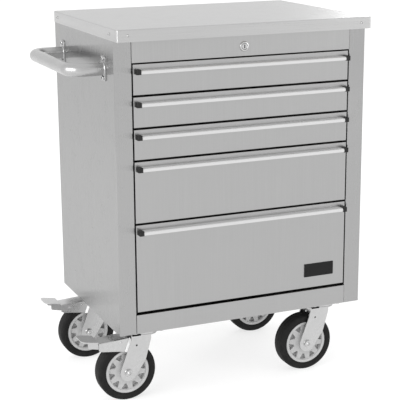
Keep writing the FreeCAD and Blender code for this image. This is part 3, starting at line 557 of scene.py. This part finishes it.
def head_shape(top):
    """The round swivel head: a cup that holds the lower row of balls."""
    cup = [(6.1, -3.5), (33, -3.5), (33, -0.9), (32.2, 0), (29.6, 0), (29.2, -0.5), (26.4, -0.5), (26, 0),
           (6.1, 0)]
    return moved(lathe([(r * MM, h * MM) for r, h in cup], 72), (0, 0, top), TO_DOWN)


def hood_shape():
    """A folded cover over the wheel. Its skirts step outwards to lie flush with the fork's legs."""
    half, flush, bend = HOOD_HALF, LEG_FACE, 2.5 * MM
    end, far, nose = -126.7 * MM, FORK_BACK, 7 * MM
    middle_height, steps = 0.15, 5

    def top_at(x):
        return (168 - 5.4 * (far - x) / (far - end)) * MM

    def low_at(x):
        if x < end + nose:
            return (143.2 - (x - end) / MM * 0.35) * MM
        return (139.8 - 9.8 * (x - end - nose) / (far - end - nose)) * MM

    def section(x_at):
        """The near skirt from its lowest edge up and round the bend. x_at gives its x at a height."""
        x = x_at(middle_height)
        top, low = top_at(x), low_at(x)
        run = []
        for step in range(steps + 1):
            z = low + (top - bend - low) * step / steps
            run.append((x_at(z), -half, z))
        for step in range(1, steps + 1):
            angle = TURN / 4 * step / steps
            run.append((x_at(top), -half + bend - bend * math.cos(angle),
                        top - bend + bend * math.sin(angle)))
        return run

    places = [end, end + 3.5 * MM, end + nose, end + 30 * MM, end + 52 * MM]
    rows = [section(lambda z, x=x: x) for x in places]
    rows.append(section(lambda z: leg_line(z) - 6 * MM))
    points = []
    count = len(rows[0])
    for row in rows:
        points += row + [(x, -y, z) for x, y, z in reversed(row)]
    faces = []
    for n in range(len(rows) - 1):
        for m in range(2 * count - 1):
            a, b = n * 2 * count + m, (n + 1) * 2 * count + m
            faces.append((a, a + 1, b + 1, b))
    across = 4
    for side in (1, -1):
        start = len(points)
        for x, y, z in rows[-1][:steps + 1]:
            points += [(x, side * y, z), (x + 0.7 * MM, side * (-half - 0.6 * MM), z),
                       (leg_line(z) - 1.0 * MM, side * (-flush + 0.5 * MM), z),
                       (leg_line(z) - 0.1 * MM, side * -flush, z)]
        for n in range(steps):
            for m in range(across - 1):
                a = start + n * across + m
                faces.append((a, a + 1, a + across + 1, a + across))
    return points, faces


def pedal_shape():
    """A pressed tongue on two cheeks."""
    def lift(a, b, height):
        return (a, b, (168 + 7.5 * (-129 - a / MM) / 44 - 2) * MM + height)

    corner = 14 * MM
    tongue = rounded([(-129 * MM, -28 * MM, 3 * MM), (-129 * MM, 28 * MM, 3 * MM),
                      (-173 * MM, 28 * MM, corner), (-173 * MM, -28 * MM, corner)])
    shapes = [plate(tongue, [], 2 * MM, lift)]
    cheek = rounded([(-97, 158, 2), (-97, 146, 3), (-122, 146, 4), (-154, 153, 4), (-154, 171, 1),
                     (-129, 166.6, 1), (-129, 158, 3)])
    cheek = [(x * MM, z * MM) for x, z in cheek]
    for side in (-1, 1):
        shapes.append(plate(cheek, [], 1.5 * MM,
                            lambda a, b, height, side=side: (a, side * (19.1 * MM + height), b)))
    return merged(*shapes)


def castor(row, side):
    """Everything on one castor, placed from the joints of its swivel, wheel and pedal."""
    name = f"{row}_{side}"
    swivel = Vector(JOINTS[f"{name}_swivel"]["pos_m"])
    axle = Vector(JOINTS[f"{name}_roll"]["pos_m"])
    ground = (swivel.x, swivel.y, 0)
    trail, level = swivel.x - axle.x, axle.z
    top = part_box(f"{name}_fork")[1].z
    half = (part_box(f"{name}_tyre")[1].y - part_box(f"{name}_tyre")[0].y) / 2
    put(f"{name}_tyre_ring", tyre_shape(level, half), "tyre_rubber", f"{name}_wheel", axle,
        replaces=[f"{name}_tyre"])
    hub = merged(hub_shape(), ridges_shape())
    put(f"{name}_wheel_centre", hub, "hub_plastic", f"{name}_wheel", axle, sharp=28, replaces=[f"{name}_hub"])
    body = f"{name}_castor"
    put(f"{name}_fork_pressing", fork_shape(trail, level, top), "zinc_steel", body, ground, bevel=0.8 * MM,
        replaces=[f"{name}_fork"])
    put(f"{name}_swivel_head", head_shape(top), "zinc_steel", body, ground)
    wide, tall, washer = 9.4 * MM, 5.6 * MM, 11 * MM
    stub = [(3.8 * MM, -34.6 * MM), (5.0 * MM, -33.2 * MM), (5.0 * MM, -27 * MM), (3.8 * MM, -27 * MM)]
    axle_bolt = merged(
        bolt(wide, tall, place=(0, -LEG_FACE, 0), washer=washer),
        bolt(wide, tall, TO_BACK, (0, LEG_FACE, 0), washer),
        lathe([(5.9 * MM, -LEG_FACE), (5.9 * MM, LEG_FACE)], 32, closed=False),
        moved(lathe(stub, 32)))
    put(f"{name}_axle_bolt", axle_bolt, "polished_steel", body, axle)
    if side == "left":
        brake(name, swivel, ground)


def brake(name, swivel, ground):
    """The hood over a left castor's wheel and the pedal that tilts under its end."""
    body = f"{name}_castor"
    hood = put(f"{name}_wheel_hood", hood_shape(), "zinc_steel", body, ground,
               replaces=[f"{name}_brake_hood"])
    sheet = hood.modifiers.new("sheet", "SOLIDIFY")
    sheet.thickness = 1.5 * MM
    sheet.offset = -1
    soften(hood, 0.3 * MM)
    rivets = [pan_head(2.6 * MM, 0.7 * MM, turn, (-68 * MM, face * HOOD_HALF, 157.0 * MM))
              for face, turn in ((-1, None), (1, TO_BACK))]
    put(f"{name}_hood_rivets", merged(*rivets), "polished_steel", body, ground)
    pin = JOINTS[f"{name}_brake"]["pos_m"]
    profile = [(0.2, -22.9), (2.2, -22.9), (2.9, -22.5), (2.9, 22.5), (2.2, 22.9), (0.2, 22.9)]
    pivot = moved(lathe([(r * MM, h * MM) for r, h in profile], 32, closed=False),
                  (pin[0] - swivel.x, 0, pin[2]))
    put(f"{name}_pedal_plate", merged(pedal_shape(), pivot), "zinc_steel", f"{name}_pedal", ground,
        bevel=0.4 * MM, replaces=[f"{name}_brake_pedal"])


for row in ("front", "rear"):
    for side in ("left", "right"):
        castor(row, side)


# ---------------------------------------------------------------- push handle and screws

# The flanges' half width, half height and thickness, and how far the tube sits below their middle.
FLANGE_WIDE, FLANGE_TALL, FLANGE_THICK = 16.5 * MM, 30.5 * MM, 3 * MM
TUBE_DROP = 2 * MM


def handle_legs():
    """The Y halfway between the handle's legs, and how far each leg is from it."""
    low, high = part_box("push_handle")
    return (low.y + high.y) / 2, (high.y - low.y) / 2 - FLANGE_WIDE


def tube_shape(line, radius, steps=32):
    """A round tube along a smooth level line."""
    points, faces = [], []
    for n, here in enumerate(line):
        ahead = Vector(line[min(n + 1, len(line) - 1)]) - Vector(line[max(n - 1, 0)])
        out = Vector((0, 0, 1)).cross(ahead).normalized()
        for step in range(steps):
            angle = TURN * step / steps
            spoke = math.cos(angle) * out + Vector((0, 0, math.sin(angle)))
            points.append(tuple(Vector(here) + radius * spoke))
    for n in range(len(line) - 1):
        for step in range(steps):
            a, b = n * steps + step, n * steps + (step + 1) % steps
            faces.append((a, b, b + steps, a + steps))
    return points, faces


def push_handle():
    """A bent tube welded to two flanges, each with a bead of weld round the tube."""
    low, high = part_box("push_handle")
    wall = high.x
    radius, bend, sunk, straight = 15.5 * MM, 35 * MM, 2 * MM, 12 * MM
    level = low.z + FLANGE_TALL - TUBE_DROP
    middle, span = handle_legs()
    reach = low.x + radius
    line = [(wall - sunk, middle - span, level), (reach + bend + straight, middle - span, level)]
    for sign in (-1, 1):
        centre = (reach + bend, middle + sign * (span - bend))
        arc = []
        for step in range(19):
            angle = TURN / 4 * step / 18
            arc.append((centre[0] - bend * math.sin(angle), centre[1] + sign * bend * math.cos(angle), level))
        line += arc if sign < 0 else list(reversed(arc))
    line += [(reach + bend + straight, middle + span, level), (wall - sunk, middle + span, level)]
    shapes = [tube_shape(line, radius)]
    plates = []
    for sign in (-1, 1):
        y = middle + sign * span
        z = level + TUBE_DROP
        outline = rectangle(y - FLANGE_WIDE, z - FLANGE_TALL, y + FLANGE_WIDE, z + FLANGE_TALL, 8.7 * MM)
        plates.append(plate(outline, [], FLANGE_THICK, lambda a, b, height: (wall - height, a, b)))
        bead = [(radius - 1 * MM, -3 * MM), (radius + 1.6 * MM, -2.9 * MM), (radius + 1.3 * MM, -3.9 * MM),
                (radius + 0.4 * MM, -4.7 * MM), (radius - 1 * MM, -5.2 * MM)]
        shapes.append(moved(lathe(bead, 64), (wall, y, level), TO_LEFT))
    put("handle_tube", merged(*shapes), "polished_steel", "cabinet", replaces=["push_handle"], finish=HANDLE)
    put("handle_flanges", merged(*plates), "polished_steel", "cabinet", bevel=0.7 * MM, finish=HANDLE)


def screws():
    """Pan heads in the worktop's lip and on the handle's flanges, and bolts under the castor plates."""
    low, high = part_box("worktop_skin")
    left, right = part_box("left_side_panel")[0].x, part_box("right_side_panel")[1].x
    front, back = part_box("left_side_panel")[0].y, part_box("left_side_panel")[1].y
    level = (low.z + high.z) / 2
    inset, wide, tall = 27 * MM, 3.6 * MM, 2 * MM
    heads = []
    for x in (left + inset, right - inset):
        heads.append(pan_head(wide, tall, None, (x, low.y, level)))
        heads.append(pan_head(wide, tall, TO_BACK, (x, high.y, level)))
    for y in (front + inset, back - inset):
        heads.append(pan_head(wide, tall, TO_LEFT, (left, y, level)))
        heads.append(pan_head(wide, tall, TO_RIGHT, (right, y, level)))
    flange_low, flange_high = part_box("push_handle")
    middle, span = handle_legs()
    margin = 7 * MM
    for y in (middle - span, middle + span):
        for z in (flange_low.z + margin, flange_high.z - margin):
            heads.append(pan_head(5.5 * MM, 3.5 * MM, TO_LEFT, (flange_high.x - FLANGE_THICK, y, z)))
    bolt_x, bolt_y, plate_level = 34 * MM, 30 * MM, 183 * MM
    for row in ("front", "rear"):
        for side in ("left", "right"):
            x, y, _ = JOINTS[f"{row}_{side}_swivel"]["pos_m"]
            for east in (-bolt_x, bolt_x):
                for north in (-bolt_y, bolt_y):
                    heads.append(bolt(7.5 * MM, 5.3 * MM, TO_DOWN, (x + east, y + north, plate_level)))
    put("screw_heads", merged(*heads), "polished_steel", "cabinet", replaces=["fasteners"])


push_handle()
screws()


# ---------------------------------------------------------------- lock

def lock():
    """A dished ring round a plug whose face has a keyway."""
    x, y, z = JOINTS["lock_turn"]["pos_m"]
    plug, ring_deep = 6.9 * MM, 24
    ring = [(7.1, ring_deep), (7.1, -1.4), (7.6, -2.6), (8.4, -3.0), (9.4, -2.5), (10.6, -2.3), (11.6, -1.9),
            (12.2, -0.9), (12.2, 0), (9.5, 0), (9.5, ring_deep)]
    put("lock_ring", lathe([(r * MM, h * MM) for r, h in ring], 72), "polished_steel", "cabinet", (x, y, z),
        sharp=50, replaces=["lock_housing"])
    keyway = rectangle(-1.3 * MM, -4.6 * MM, 1.3 * MM, 4.6 * MM, 1.2 * MM)
    face = plate(circle(0, 0, plug, 48), [keyway], 3 * MM, lambda a, b, height: (a, height - 2.4 * MM, b))
    barrel = lathe([(plug, 0.6 * MM), (plug, 23.4 * MM)], 48, closed=False)
    put("lock_plug", merged(face, barrel), "polished_steel", "lock", (x, y, z), bevel=0.25 * MM,
        replaces=["lock_cylinder"])
    # Two black blocks just inside the keyway: painted shade for its dark interior.
    keyway_shade = [block((-1.2 * MM, low * MM, -4.4 * MM), (1.2 * MM, (low + 0.5) * MM, 4.4 * MM))
              for low in (-0.9, 0.05)]
    put("lock_keyway_shade", merged(*keyway_shade), "black_plastic", "lock", (x, y, z))


lock()


# ---------------------------------------------------------------- studio

def studio():
    """A pale floor, soft light all round, and three large softboxes."""
    scene = bpy.context.scene
    scene.view_settings.view_transform = "Standard"
    world = bpy.data.worlds.new("studio")
    scene.world = world
    world.use_nodes = True
    world.node_tree.nodes["Background"].inputs["Color"].default_value = (1, 1, 1, 1)
    world.node_tree.nodes["Background"].inputs["Strength"].default_value = 1.0

    mesh = bpy.data.meshes.new("floor")
    reach = 40
    mesh.from_pydata([(-reach, -reach, 0), (reach, -reach, 0), (reach, reach, 0), (-reach, reach, 0)], [],
                     [(0, 1, 2, 3)])
    floor = bpy.data.objects.new("floor", mesh)
    scene.collection.objects.link(floor)
    w = Wires("floor_paint")
    speck = w.noise((1, 1, 1), 6.0, 3.0)
    w.surface(base_color=w.blend(w.span(speck, 0, 1), grey(0.36), grey(0.38)), roughness=0.9)
    w.shader.inputs["Specular IOR Level"].default_value = 0.1
    w.shader.inputs["Emission Color"].default_value = (1, 1, 1, 1)
    w.shader.inputs["Emission Strength"].default_value = 0.7
    mesh.materials.append(w.material)

    def softbox(name, place, aim, width, height, power):
        light = bpy.data.lights.new(name, "AREA")
        light.shape = "RECTANGLE"
        light.size = width
        light.size_y = height
        light.energy = power
        lamp = bpy.data.objects.new(name, light)
        lamp.location = place
        lamp.rotation_euler = (Vector(aim) - Vector(place)).to_track_quat("-Z", "Y").to_euler()
        scene.collection.objects.link(lamp)

    softbox("left_softbox", (-3.3, -1.0, 1.6), (-0.3, 0, 0.8), 2.8, 1.5, 70)
    softbox("back_softbox", (3.9, 3.4, 2.3), (0, 0, 0.9), 2.6, 1.8, 46)
    softbox("right_softbox", (4.0, -3.5, 1.7), (0.3, -0.2, 0.7), 2.4, 2.4, 28)


def camera():
    """The eye stands left of the front and a little above the worktop, far away, with a long lens."""
    yaw, pitch, roll = 0.401145, -0.250511, -0.00723835
    lens = bpy.data.cameras.new("camera")
    lens.lens = 111.28
    lens.sensor_width = 36
    eye = bpy.data.objects.new("camera", lens)
    eye.location = (-1.21941, -2.92885, 1.2626)
    forward = Vector((math.sin(yaw) * math.cos(pitch), math.cos(yaw) * math.cos(pitch), math.sin(pitch)))
    level = Vector((math.cos(yaw), -math.sin(yaw), 0))
    above = level.cross(forward)
    right = level * math.cos(roll) + above * math.sin(roll)
    up = above * math.cos(roll) - level * math.sin(roll)
    eye.rotation_euler = Matrix((right, up, -forward)).transposed().to_euler()
    bpy.context.scene.collection.objects.link(eye)
    bpy.context.scene.camera = eye


studio()
camera()
